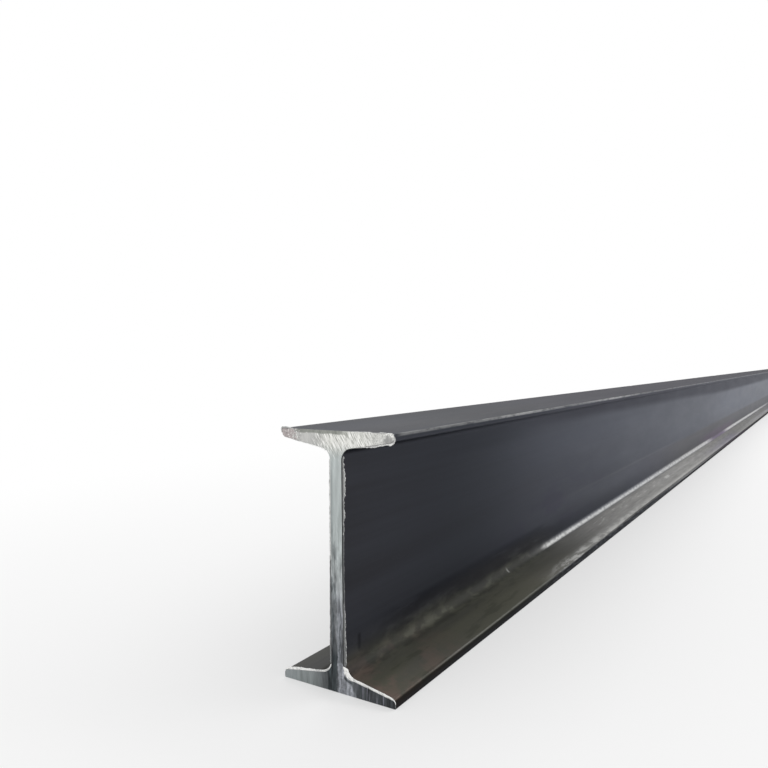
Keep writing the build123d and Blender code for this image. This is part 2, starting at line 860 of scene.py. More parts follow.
    def _tone_bed(self, coat: Coat, where: Where, bed: Socket) -> None:
        """Shades the lower flange: darker by the root and on the left side, lighter outside in two stretches.

        Args:
            coat: the base colour.
            where: the place on the beam.
            bed: the lower flange's upward faces.
        """
        along, out = where.along, where.out
        coat.tint(bed * out.rise(0.031, 0.021) * along.bump_at(0.15, 0.16), self.root_shade)
        pale = along.bump_at(0.35, 0.15) + along.rise(0.12, 0.03)
        coat.tint(bed * out.rise(0.028, 0.036) * pale, self.pale_bed)
        # Painted shade on the left side of the lower flange.
        coat.tint(bed * (1 - where.right()), self.left_bed_shade)

    def _smudge_root(self, coat: Coat, where: Where, track: Socket) -> None:
        """Adds the row of dull smudges along the lower root near the end, with painted shade between them.

        Args:
            coat: the base colour.
            where: the place on the beam.
            track: the stretch of the root that has them.
        """
        smudges = where.board.stretched(where.along * 42, where.girth * 90, 27.0, 3, 0.55)
        on_line = abs(where.out - 0.0092).rise(0.0036, 0.0008) * where.up.rise(0.036, 0.028)
        # Painted shade on the root between the smudges.
        coat.tint(track * smudges.rise(0.62, 0.42), self.smudge_gap_shade)
        coat.lay(track * on_line * smudges.rise(0.50, 0.64) * 0.30, self.smudge)

    def _paint_toe_shade(self, coat: Coat, where: Where, toe: Socket) -> None:
        """Paints shade, nearly black, on the upright sides of the lower flange's tips, with paler flecks.

        Args:
            coat: the base colour.
            where: the place on the beam.
            toe: those sides.
        """
        # Painted shade on the sides that face sideways and down.
        coat.lay(toe * 0.88, self.toe_shade)
        flecks = where.board.stretched(where.along * 60, where.girth * 330, 37.0, 4, 0.7).rise(0.50, 0.62)
        coat.lay(toe * flecks * where.along.rise(0.2, 0.5) * 0.5, self.strip)

    def _wear_and_highlight(self, where: Where) -> Socket:
        """Where the scale is worn to bright steel, and where a highlight is painted along the lower roots.

        Args:
            where: the place on the beam.

        Returns:
            How bright the wear and the painted highlight make it.
        """
        chips = where.board.stretched(where.along * 34, where.girth * 150, 5.0, 5, 0.7)
        worn = self._rubbed_root(where).largest(self._rubbed_edges(where, chips) * 0.75)
        return worn.largest(self._scratches(where)).smallest(1.0)

    def _rubbed_root(self, where: Where) -> Socket:
        """The painted highlight along each lower root, which starts some way in and has one gap.

        Args:
            where: the place on the beam.

        Returns:
            How bright the painted highlight is.
        """
        along = where.along
        line = where.out - where.section.web / 2 - self.fillet_line_out + (along - 1) * 0.0006
        line = abs(line) / (1 + 0.5 * along.rise(0.8, 1.9))
        line = line.rise(self.fillet_line_half, 0.0003) * where.up.rise(0.0235, 0.0195)
        gap = along.bump_at(self.line_gap, 0.32).rise(0.0, 0.8)
        runs = along.rise(self.line_start - 0.03, self.line_start) * (1 - gap)
        strokes = where.board.stretched(along * 90, where.out * 300, 11.0, 3, 0.6)
        rub = line * runs * (0.6 + 0.6 * strokes.rise(0.35, 0.62)) * along.rise(4.6, 3.0)
        faint = along.bump_at(0.318, 0.0030) * 0.4 + along.rise(0.35, 0.45) * 0.10
        return rub.largest(line * faint * (1 - gap))

    def _rubbed_edges(self, where: Where, chips: Socket) -> Socket:
        """The chipped and worn edges of the flanges.

        Args:
            where: the place on the beam.
            chips: noise that breaks the edges up.

        Returns:
            How far the edges are worn bright.
        """
        along, out, up = where.along, where.out, where.up
        half, toe, depth = where.section.width / 2, where.section.toe, where.section.depth
        shoulder = up.rise(toe - 0.0026, toe - 0.0014) * where.lower()
        flakes = along.rise(1.00, 0.74)
        wide, narrow = out.rise(half - 0.0165, half - 0.0080), out.rise(half - 0.0125, half - 0.0065)
        rim = (flakes * wide + (1 - flakes) * narrow) * shoulder * along.rise(0.31, 0.46)
        rim = rim * (1 - along.rise(1.2, 0.9) * self._toe_side(where))
        flaked = flakes * (0.28 + 0.72 * chips.rise(0.45, 0.56))
        flaked = flaked + (1 - flakes) * (0.14 + 0.16 * chips + 0.36 * along.rise(2.0, 1.25))
        flaked = flaked + 0.35 * along.bump_at(1.00, 0.16) * chips.rise(0.46, 0.56)

        thin_in = 0.0019 + 0.0007 * along.rise(0.15, 0.30)
        thin = abs(out - half + thin_in).rise(0.0011, 0.0002) * up.rise(toe - 0.002, toe - 0.001)
        thin = thin * where.lower() * (0.14 + 0.26 * along.bump_at(0.8, 0.6)) * chips.rise(0.30, 0.45)
        thin = thin * along.rise(0.02, 0.11)

        crest = out.rise(half - 0.0014, half - 0.0005) * up.rise(depth - 0.0030, depth - 0.0017)
        worn = 0.26 + 0.24 * along.bump_at(0.26, 0.14) + 0.34 * along.bump_at(0.62, 0.20)
        crest = crest * along.rise(0.002, 0.012) * worn * (0.55 + 0.75 * chips.rise(0.42, 0.52))

        knock = along.bump_at(0.64, 0.07) * out.bump_at(half - 0.0065, 0.006) * where.lower()
        return (rim * flaked).largest(thin).largest(crest).largest(knock * chips.rise(0.38, 0.5))

    def _scratches(self, where: Where) -> Socket:
        """One slanting scratch on the lower flange, and a scatter of bright dots nearer the end.

        Args:
            where: the place on the beam.

        Returns:
            How far they are worn bright.
        """
        along, out = where.along, where.out
        bend = along - self.scratch_along + (out - 0.020) * 1.2
        scratch = abs(bend).rise(0.028, 0.012) * out.rise(0.021, 0.023) * out.rise(0.030, 0.027)
        scratch = scratch * where.lower() * where.across.rise(0.0, 0.002)
        dots = where.board.stretched(along * 40, out * 420, 31.0, 2, 0.5).rise(0.58, 0.66)
        dots = dots * out.bump_at(0.022, 0.009).rise(0.0, 0.5) * along.bump_at(0.86, 0.32).rise(0.0, 0.4)
        return scratch.largest(dots * where.lower() * 0.6)


@dataclass(frozen=True)
class SawnSteel(Steel):
    """Bare steel of a sawn end, bright above and duller below in painted light and shade, with the blade's
    arcs across it.

    Every place in it is in metres: across from the web's middle, up from the underside. The colours up to
    the bright colour of marks and glints cover what lies below them, and the others multiply it.
    """

    name: str = "sawn_steel"
    ior: float = 1.5
    # Colours by height on the face: painted light towards the top, painted shade towards the bottom.
    heights: tuple[tuple[float, Colour], ...] = (
        (0.00, (0.125, 0.135, 0.140)),
        (0.13, (0.118, 0.124, 0.132)),
        (0.20, (0.240, 0.250, 0.262)),
        (0.28, (0.300, 0.312, 0.326)),
        (0.40, (0.385, 0.408, 0.413)),
        (0.62, (0.450, 0.490, 0.485)),
        (0.90, (0.490, 0.530, 0.525)),
        (0.95, (0.720, 0.720, 0.690)),
    )
    stain: Colour = (0.040, 0.050, 0.054)
    heel: Colour = (0.37, 0.385, 0.42)
    score: Colour = (0.30, 0.30, 0.36)
    core: Colour = (0.215, 0.215, 0.215)
    tip: Colour = (0.46, 0.405, 0.40)
    dull: Colour = (0.230, 0.240, 0.215)
    mark_and_glint: Colour = (0.95, 0.95, 0.92)
    right_foot: Colour = (0.30, 0.30, 0.32)
    left_foot: Colour = (2.10, 2.15, 2.07)
    left_foot_tip: Colour = (1.20, 1.19, 1.21)
    right_foot_tip: Colour = (0.70, 0.68, 0.69)
    web_shade: Colour = (0.55, 0.56, 0.57)
    left_top: Colour = (0.78, 0.78, 0.79)
    middle_top: Colour = (1.13, 1.13, 1.12)
    groove_shade: Colour = (0.68, 0.69, 0.70)
    relief_depth: float = 0.06 * MM
    tip_middle: Point = (0.0485, -0.0060)
    tip_reach: float = 5.0 * MM

    def build(self, beam: "RolledBeam") -> bpy.types.Material:
        """Makes the material.

        Args:
            beam: the beam, for its sizes.

        Returns:
            The material.
        """
        material, board = self.start()
        where = self.where(board, beam)
        across, up, depth = where.across, where.up, beam.section.depth
        centre_y, centre_z = beam.blade_centre
        dy, dz = across + centre_y, up - centre_z
        radius = (dy * dy + dz * dz) ** 0.5
        turn = dz.angle_over(dy)
        fine = board.stretched(radius * 1700, turn * 30, 0.0, 3, 0.6)
        strokes = board.stretched(radius * 1150, turn * 95, 8.0, 2, 0.5)
        coarse = board.stretched(radius * 480, turn * 60, 4.0, 2, 0.5)
        drips = board.stretched(across * 330, up * 42, 2.0, 4, 0.6)
        cloud = board.noise(where.place, 60, 4, 0.6)
        foot = up.rise(0.032, 0.016)
        top = up.rise(depth - 0.026, depth - 0.012)

        # Painted light on the face's upper part and painted shade on its lower part, by height.
        ramp = board.out("ShaderNodeValToRGB", {"stops": list(self.heights)}, {0: up / depth})
        coat = Coat(board, ramp)
        self._tone_foot(coat, where, foot)
        self._stain_web(coat, where, cloud)
        self._rake_top(coat, where, top, strokes, coarse)
        self._score_foot(coat, where, foot)
        self._mottle_left_tip(coat, where, top, cloud)
        self._mottle_right_tip(coat, where, top, cloud)
        self._line_knee(coat, where)
        self._line_web(coat, where)
        coat.tint(1.0, board.grey(0.82 + 0.30 * fine))
        runny = 0.7 + 3.0 * up.rise(0.15, 0.07) * (1 - 0.85 * foot * across.rise(-0.008, -0.016))
        coat.tint(1.0, board.grey((drips - 0.5) * runny + 0.97))

        rough = 0.38 + (cloud - 0.5) * 0.2 + (fine - 0.5) * 0.15
        metal = 0.7 + 0.2 * cloud
        self.close(coat, rough, metal, fine * 0.55 + coarse * 0.45, self.relief_depth)
        return material

    def _tone_foot(self, coat: Coat, where: Where, foot: Socket) -> None:
        """Shades the lower flange: dark towards the right, lighter towards the left.

        Args:
            coat: the base colour.
            where: the place on the beam.
            foot: the lower flange.
        """
        across = where.across
        coat.tint(foot * across.rise(0.0, 0.03) * 0.6, self.right_foot)
        coat.tint(foot * across.rise(-0.010, -0.028), self.left_foot)
        coat.tint(foot * across.rise(-0.034, -0.044), self.left_foot_tip)
        coat.tint(foot * across.rise(0.036, 0.044), self.right_foot_tip)

    def _stain_web(self, coat: Coat, where: Where, cloud: Socket) -> None:
        """Adds the dark hollow and stains of the web's lower half, and the pale heel between them.

        Args:
            coat: the base colour.
            where: the place on the beam.
            cloud: slow noise.
        """
        board, across, up = where.board, where.across, where.up
        sway = across + (cloud - 0.5) * 0.006
        coat.lay(up.rise(0.040, 0.024) * abs(sway + 0.0034).rise(0.0072, 0.0036) * 0.9, self.stain)
        left = sway.rise(0.0008, -0.0020) * up.rise(0.100, 0.068) * up.rise(0.020, 0.028)
        coat.tint(left, self.web_shade)

        low = (0.025 - up).largest(0.0)
        neck = up.bump_at(0.027, 0.009)
        spread = abs(sway - 0.0024 - low * 0.27) / (0.0022 + low * 0.27 - neck * 0.0009)
        heel = spread.rise(1.25, 0.75) * up.rise(0.086, 0.062) * (1 - neck * 0.25)
        veins = board.noise(where.place, 420, 3, 0.65).rise(0.40, 0.60)
        coat.lay(heel * (0.55 + 0.45 * veins), self.heel)

        blotch = board.stretched(across * 210, up * 52, 9.0, 4, 0.6).rise(0.45, 0.58)
        blotch = blotch * up.rise(0.150, 0.090) * up.rise(0.010, 0.026)
        coat.lay(blotch * (0.30 + 0.70 * across.rise(0.003, -0.002)) * 0.70, self.stain)
        seam = abs(sway - 0.0030).rise(0.0010, 0.0003) * up.rise(0.085, 0.060) * up.rise(0.020, 0.030)
        coat.lay(seam * 0.6, self.stain)

    def _rake_top(self, coat: Coat, where: Where, top: Socket, strokes: Socket, coarse: Socket) -> None:
        """Adds the blade's slanting strokes to the top flange.

        Args:
            coat: the base colour.
            where: the place on the beam.
            top: the top flange.
            strokes: noise of the single strokes.
            coarse: noise of their groups.
        """
        across = where.across
        coat.tint(top * across.rise(-0.008, -0.020), self.left_top)
        coat.tint(top * across.rise(-0.014, -0.004) * across.rise(0.044, 0.030), self.middle_top)
        raked = top * across.rise(-0.030, -0.012) * (0.35 + 0.65 * across.rise(0.040, 0.030))
        coat.lay(coarse.rise(0.46, 0.38) * raked * 0.25, self.dull)
        coat.lay(strokes.rise(0.48, 0.40) * raked * 0.55, self.dull)
        coat.lay((strokes + (coarse - 0.5) * 0.4).rise(0.56, 0.64) * raked, self.mark_and_glint)

    def _score_foot(self, coat: Coat, where: Where, foot: Socket) -> None:
        """Adds the upright scores of the lower flange's right half.

        Args:
            coat: the base colour.
            where: the place on the beam.
            foot: the lower flange.
        """
        across = where.across
        scores = where.board.stretched(across * 480, where.up * 22, 6.0, 3, 0.6)
        lean = foot * across.rise(0.012, 0.022)
        coat.lay(scores.rise(0.52, 0.62) * lean * across.rise(0.050, 0.040) * 0.6, self.score)
        coat.lay(scores.rise(0.50, 0.42) * lean * 0.55, self.stain)

    def _mottle_left_tip(self, coat: Coat, where: Where, top: Socket, cloud: Socket) -> None:
        """Adds the dull crust along the upper edge, and the pinkish, pitted left tip.

        Args:
            coat: the base colour.
            where: the place on the beam.
            top: the top flange.
            cloud: slow noise.
        """
        across, depth = where.across, where.section.depth
        crust = (where.up + (cloud - 0.5) * 0.004).rise(depth - 0.0034, depth - 0.0022)
        coat.lay(crust * across.rise(0.018, 0.002) * across.rise(-0.041, -0.036) * 0.85, self.dull)
        left_tip = (across + (self._nibble(where) - 0.5) * 0.026).rise(-0.036, -0.043) * top
        coat.lay(left_tip * 0.9, self.tip)
        pitted = self._pitted(where)
        flecks = top * across.rise(-0.030, -0.036)
        coat.lay(pitted.rise(0.48, 0.38) * flecks * 0.45, self.core)
        coat.lay(pitted.rise(0.56, 0.64) * flecks * 0.7, self.mark_and_glint)

    def _mottle_right_tip(self, coat: Coat, where: Where, top: Socket, cloud: Socket) -> None:
        """Adds the right tip's dull core with a ragged bright ring, and glints on the flange's left part.

        Args:
            coat: the base colour.
            where: the place on the beam.
            top: the top flange.
            cloud: slow noise.
        """
        across = where.across
        middle_across, middle_up = self.tip_middle
        x = (across - middle_across) / self.tip_reach
        z = (where.up - where.section.depth - middle_up) / self.tip_reach
        from_tip = (x * x + z * z) ** 0.5 + (cloud - 0.5) * 0.6 + (self._nibble(where) - 0.5) * 1.1
        pitted = self._pitted(where)
        coat.lay(pitted.rise(0.52, 0.40) * top * across.rise(0.026, 0.040) * 0.45, self.core)
        ring = from_tip.bump_at(1.10, 0.36) * across.rise(0.0435, 0.0480) * pitted.rise(0.40, 0.52)
        coat.lay(ring, self.mark_and_glint)
        coat.lay(from_tip.rise(1.05, 0.45) * (0.35 + 0.60 * pitted), self.core)
        # Painted glints, in the colour of the bright marks.
        glints = where.board.noise(where.place, 700, 2, 0.5).rise(0.66, 0.72)
        coat.lay(glints * top * across.rise(-0.02, -0.03), self.mark_and_glint)

    def _nibble(self, where: Where) -> Socket:
        """Noise that makes the tips' edges ragged."""
        return where.board.noise(where.place, 330, 3, 0.6)

    def _pitted(self, where: Where) -> Socket:
        """Noise of the tips' small pits."""
        return where.board.noise(where.place, 640, 3, 0.65)

    def _line_knee(self, coat: Coat, where: Where) -> None:
        """Adds the bright lip round the lower right root and along the flange beside it, over a dark line of
        painted shade.

        Args:
            coat: the base colour.
            where: the place on the beam.
        """
        section, across, up = where.section, where.across, where.up
        knee_x, knee_z = section.root_centre
        from_knee = ((across - knee_x) ** 2 + (up - knee_z) ** 2) ** 0.5 - section.root_radius
        corner = across.rise(0.0060, 0.0070) * across.rise(knee_x + 0.001, knee_x - 0.003)
        # The dark line beside the lip is painted shade, in the stain colour.
        coat.lay(from_knee.bump_at(0.0030, 0.0018) * corner * up.rise(0.0170, 0.0150) * 0.9, self.stain)
        coat.lay(from_knee.rise(0.0016, 0.0008) * corner * up.rise(0.0190, 0.0175) * 0.8, self.mark_and_glint)
        below = section.root - (across - section.web / 2) * section.slope - up
        ledge = below.rise(0.0010, 0.0004) * across.rise(knee_x - 0.003, knee_x) * up.rise(0.030, 0.020)
        coat.lay(ledge * 0.85, self.mark_and_glint)

    def _line_web(self, coat: Coat, where: Where) -> None:
        """Adds the web's bright left rim, with a darker groove beside it.

        Args:
            coat: the base colour.
            where: the place on the beam.
        """
        section, across, up = where.section, where.across, where.up
        groove = across.bump_at(-0.0042, 0.0024) * up.rise(0.085, 0.110) * up.rise(0.184, 0.165)
        coat.tint(groove, self.groove_shade)
        rim = across.bump_at(-section.web / 2 + 0.0005, 0.0010) * up.rise(0.085, 0.110)
        coat.lay(rim * up.rise(section.depth - 0.018, section.depth - 0.024) * 0.45, self.mark_and_glint)


@dataclass(frozen=True)
class BurrSteel(Steel):
    """Torn steel of the burr that the saw leaves: bright where light is painted on it, dark where shade is
    painted.
    """

    name: str = "burr_steel"
    bright: Colour = (0.97, 0.97, 0.95)
    torn: Colour = (0.075, 0.079, 0.083)
    relief_depth: float = 0.12 * MM

    def build(self) -> bpy.types.Material:
        """Makes the material.

        Returns:
            The material.
        """
        material, board = self.start()
        place = board.out("ShaderNodeTexCoord", pick="Object")
        painted_light = board.out("ShaderNodeAttribute", {"attribute_name": "painted_light"}, pick="Fac")
        crest = board.out("ShaderNodeAttribute", {"attribute_name": "crest"}, pick="Fac").rise(0.70, 0.96)
        chips = board.noise(place, 420, 3, 0.6)
        runs = board.noise(place, 90, 3, 0.6)
        share = chips.rise(0.30, 0.52) * runs.rise(0.32, 0.50) * 0.5 + 0.5
        # Painted light: each run's share of it, and a painted highlight on the crests, mix the dark colour
        # towards the bright one.
        lit = painted_light + crest * (1 - painted_light) * chips.rise(0.47, 0.58) * 0.75 * (painted_light * 4.5).smallest(1.0)
        coat = Coat(board, board.mix((share * lit).smallest(1.0), self.torn, self.bright))
        rough = 0.40 + (chips - 0.5) * 0.3
        metal = 0.25 + 0.2 * runs
        self.close(coat, rough, metal, chips, self.relief_depth)
        return material


@dataclass(frozen=True)
class Island:
    """A rectangle of the baked map, and the stretch of surface that fills it."""

    left: float
    low: float
    right: float
    high: float

    def place(self, across: float, up: float) -> Point:
        """Finds the place at a share of the rectangle's width and at a share of its height."""
        return self.left + (self.right - self.left) * across, self.low + (self.high - self.low) * up


@dataclass(frozen=True)
class CapIslands:
    """The rectangles of one sawn end: its two flanges and its web."""

    lower: Island
    upper: Island
    web: Island


LONG_RUN = Island(0.004, 0.004, 0.996, 0.615)
FINE_RUN = Island(0.004, 0.625, 0.575, 0.996)
CAP_ISLANDS = {
    End.NEAR: CapIslands(
        lower=Island(0.585, 0.630, 0.985, 0.725),
        upper=Island(0.585, 0.735, 0.985, 0.830),
        web=Island(0.585, 0.840, 0.985, 0.885),
    ),
    End.FAR: CapIslands(
        lower=Island(0.585, 0.895, 0.780, 0.940),
        upper=Island(0.790, 0.895, 0.985, 0.940),
        web=Island(0.585, 0.950, 0.985, 0.972),
    ),
}


@dataclass(frozen=True)
class Dent:
    """A knock on the edge of a flange: its middle, how far it reaches each way, and its depth."""

    along: float
    girth: float
    reach_along: float
    reach_round: float
    depth: float


@dataclass
class RolledBeam:
    """The whole beam as one closed mesh: its rolled sides and its two sawn ends.

    The gaps and the shift of the points on the sawn ends are shares of the distance between them.
    """

    section: Section
    length: float
    arris: float = 0.35 * MM
    near_step: float = 1.0 * MM
    far_step: float = 2.0 * MM
    near_growth: float = 0.015
    far_growth: float = 0.03
    longest_step: float = 0.03
    near_grid: float = 0.7 * MM
    far_grid: float = 0.95 * MM
    wave_height: float = 0.3 * MM
    kerf_depth: float = 0.07 * MM
    blade_radius: float = 0.695
    blade_tilt: float = math.radians(33)
    rolling_map: str = "Rolling"
    bake_map: str = "OFBake"
    fine_run: float = 0.5
    flange_piece: float = 24 * MM
    web_margin: float = 1.3
    sharp_angle: float = math.radians(38)
    weld: float = 1e-7
    rim_gap: float = 0.6
    edge_gap: float = 0.5
    row_shift: float = 0.25
    stray_knocks: int = 26
    knock_margin: float = 0.3
    knock_off_edge: float = 1.0 * MM
    knock_along: Point = (8.0 * MM, 30.0 * MM)
    knock_round: Point = (2.5 * MM, 5.0 * MM)
    knock_depth: Point = (0.3 * MM, 0.9 * MM)
    seed: int = 11

    @property
    def blade_centre(self) -> Point:
        """Finds where the saw's shaft stood.

        Returns:
            Its Y and its Z.
        """
        out = self.blade_radius * math.cos(self.blade_tilt)
        down = self.blade_radius * math.sin(self.blade_tilt)
        return out, self.section.depth - down

    def stations(self) -> list[float]:
        """Spaces the rings of points along the sides, closer together near the ends.

        Returns:
            Each ring's distance from the near end.
        """
        middle = self.length / 2
        near, far = [self.arris], [self.arris]
        while near[-1] < middle:
            near.append(near[-1] + min(self.longest_step, self.near_step + self.near_growth * near[-1]))
        while far[-1] < self.length - near[-1] - self.longest_step:
            far.append(far[-1] + min(self.longest_step, self.far_step + self.far_growth * far[-1]))
        return near + [self.length - d for d in reversed(far)]

    def dents(self) -> list[Dent]:
        """Places the knocks on the flanges' edges.

        Returns:
            The ones that the near side shows, and some more all round.
        """
        chance = random.Random(self.seed)
        near_edge = self.section.corner_girths[Corner.LOWER_TOE_RIGHT]
        shown = [
            Dent(0.62, near_edge, 0.030, 0.0045, 0.0011),
            Dent(0.70, near_edge, 0.018, 0.0040, 0.0007),
            Dent(0.47, near_edge, 0.016, 0.0035, 0.0006),
            Dent(1.16, near_edge, 0.020, 0.0040, 0.0008),
        ]
        edges = [
            Corner.BOTTOM_RIGHT,
            Corner.UPPER_TOE_RIGHT,
            Corner.TOP_RIGHT,
            Corner.TOP_LEFT,
            Corner.UPPER_TOE_LEFT,
            Corner.LOWER_TOE_LEFT,
            Corner.BOTTOM_LEFT,
            Corner.LOWER_TOE_RIGHT,
        ]
        edge_girths = [self.section.corner_girths[corner] for corner in edges]
        others = [
            Dent(
                chance.uniform(self.knock_margin, self.length - self.knock_margin),
                chance.choice(edge_girths) + chance.uniform(-1, 1) * self.knock_off_edge,
                chance.uniform(*self.knock_along),
                chance.uniform(*self.knock_round),
                chance.uniform(*self.knock_depth),
            )
            for _ in range(self.stray_knocks)
        ]
        return shown + others

    def knock(self, along: float, girth: float, dents: list[Dent]) -> float:
        """Adds up the knocks at a place on the side.

        Args:
            along: distance from the near end.
            girth: distance round the section.
            dents: the knocks.

        Returns:
            How deep they are there.
        """
        deep = 0.0
        for dent in dents:
            if abs(along - dent.along) < dent.reach_along and abs(girth - dent.girth) < dent.reach_round:
                a = (along - dent.along) / dent.reach_along
                g = (girth - dent.girth) / dent.reach_round
                deep += dent.depth * max(0.0, 1 - a * a) ** 2 * max(0.0, 1 - g * g) ** 2
        return deep

    def build(self) -> bpy.types.Object:
        """Makes the beam's mesh, with its maps and the attributes that its relief reads.

        Returns:
            The mesh object.
        """
        vertices: list[Place] = []
        faces: list[tuple[int, ...]] = []
        stations = self.stations()
        ring = self.section.points[:-1]
        count = len(ring)
        dents = self.dents()
        outs = [self.section.at(g + self.weld)[1] for g in self.section.girths[:-1]]
        for along in stations:
            for (across, up), girth, out in zip(ring, self.section.girths, outs):
                deep = self.knock(along, girth, dents)
                x, z = across - out.x * deep, up - out.y * deep
                vertices.append((along - self.length / 2, -x, z))
        side_faces = (len(stations) - 1) * count
        for k in range(len(stations) - 1):
            for i in range(count):
                j = (i + 1) % count
                faces.append((k * count + i, (k + 1) * count + i, (k + 1) * count + j, k * count + j))
        sawn = [0.0] * len(vertices)
        for end, start_ring in ((End.NEAR, 0), (End.FAR, (len(stations) - 1) * count)):
            self._cap(end, start_ring, vertices, faces, sawn)
        mesh = bpy.data.meshes.new("i_beam_skin")
        mesh.from_pydata(vertices, [], faces)
        mesh.attributes.new("sawn", "FLOAT", "POINT").data.foreach_set("value", sawn)
        ends = [index >= side_faces for index in range(len(faces))]
        mesh.attributes.new("end_face", "BOOLEAN", "FACE").data.foreach_set("value", ends)
        self._map(mesh, stations, side_faces, count)
        mesh.shade_smooth()
        mesh.set_sharp_from_angle(angle=self.sharp_angle)
        beam = bpy.data.objects.new("i_beam_skin", mesh)
        bpy.context.scene.collection.objects.link(beam)
        return beam

    def _cap(self, end: End, start_ring: int, vertices: list, faces: list, sawn: list[float]) -> None:
        """Adds one sawn end: its broken arris and its face.

        Args:
            end: which end.
            start_ring: the first point of the side's last ring there.
            vertices: the points so far.
            faces: the faces so far.
            sawn: how far each point shows the saw's relief.
        """
        x = end.value * self.length / 2
        rim = self.section.inset(self.arris)
        count = len(rim)
        first = len(vertices)
        vertices.extend((x, -across, up) for across, up in rim)
        sawn.extend([0.0] * count)
        for i in range(count):
            j = (i + 1) % count
            quad = (first + i, start_ring + i, start_ring + j, first + j)
            faces.append(quad if end is End.NEAR else quad[::-1])
        grid = self.near_grid if end is End.NEAR else self.far_grid
        flat = [Vector(p) for p in rim + self._fill(grid)]
        keep_inside = 1
        outline = [list(range(count))]
        spots, _, triangles, _, _, _ = delaunay_2d_cdt(flat, [], outline, keep_inside, self.weld)
        inner = len(vertices)
        vertices.extend((x, -p.x, p.y) for p in spots[count:])
        sawn.extend([1.0] * (len(spots) - count))
        for triangle in triangles:
            ids = tuple(first + i if i < count else inner + i - count for i in triangle)
            faces.append(ids if end is End.NEAR else ids[::-1])

    def _fill(self, grid: float) -> list[Point]:
        """Fills the section with points, in rows.

        Args:
            grid: the distance between them.

        Returns:
            The points.
        """
        rows = int(self.section.depth / grid)
        spots: list[Point] = []
        for row in range(1, rows):
            up = row * self.section.depth / rows
            reach = self.section.half_width_at(up) - self.arris - self.rim_gap * grid
            edge = min(up, self.section.depth - up)
            if edge < self.arris + self.edge_gap * grid:
                continue
            count = max(2, math.ceil(2 * reach / grid))
            shift = self.row_shift if row % 2 else -self.row_shift
            spots.extend((-reach + 2 * reach * (k + 0.5 + shift) / count, up) for k in range(count))
        return spots

    def _map(self, mesh: bpy.types.Mesh, stations: list[float], side_faces: int, count: int) -> None:
        """Writes the two maps: distance along and round for the finishes, and places on the baked picture.

        Args:
            mesh: the beam's mesh.
            stations: its rings' distances from the near end.
            side_faces: how many of its faces are on the sides.
            count: how many points a ring has.
        """
        rolling = mesh.uv_layers.new(name=self.rolling_map)
        bake = mesh.uv_layers.new(name=self.bake_map)
        girth = self.section.girth
        for polygon in mesh.polygons:
            if polygon.index < side_faces:
                k, i = divmod(polygon.index, count)
                lengths = (stations[k], stations[k + 1], stations[k + 1], stations[k])
                rounds = [self.section.girths[i + step] for step in (0, 0, 1, 1)]
                for loop, along, walked in zip(polygon.loop_indices, lengths, rounds):
                    rolling.data[loop].uv = (along, walked)
                    if stations[k + 1] <= self.fine_run:
                        spot = FINE_RUN.place(walked / girth, along / self.fine_run)
                    else:
                        share = (along - self.fine_run) / (self.length - self.fine_run)
                        spot = LONG_RUN.place(max(0.0, share), walked / girth)
                    bake.data[loop].uv = spot
            else:
                self._map_cap(mesh, polygon, rolling, bake)

    def _map_cap(
        self,
        mesh: bpy.types.Mesh,
        polygon: bpy.types.MeshPolygon,
        rolling: bpy.types.MeshUVLoopLayer,
        bake: bpy.types.MeshUVLoopLayer,
    ) -> None:
        """Writes the two maps for one face of a sawn end.

        Args:
            mesh: the beam's mesh.
            polygon: the face.
            rolling: the finishes' map.
            bake: the baked picture's map.
        """
        islands = CAP_ISLANDS[End.NEAR if polygon.center.x < 0 else End.FAR]
        width, depth = self.section.width, self.section.depth
        flange_share = self.flange_piece / depth
        for loop in polygon.loop_indices:
            _, y, z = mesh.vertices[mesh.loops[loop].vertex_index].co
            rolling.data[loop].uv = (y, z)
            across, up = 0.5 - y / width, z / depth
            if polygon.center.z < self.flange_piece:
                spot = islands.lower.place(across, up / flange_share)
            elif polygon.center.z > depth - self.flange_piece:
                spot = islands.upper.place(across, (1 - up) / flange_share)
            else:
                middle = (up - flange_share) / (1 - 2 * flange_share)
                spot = islands.web.place(middle, 0.5 - y / (self.section.web * self.web_margin))
            bake.data[loop].uv = spot


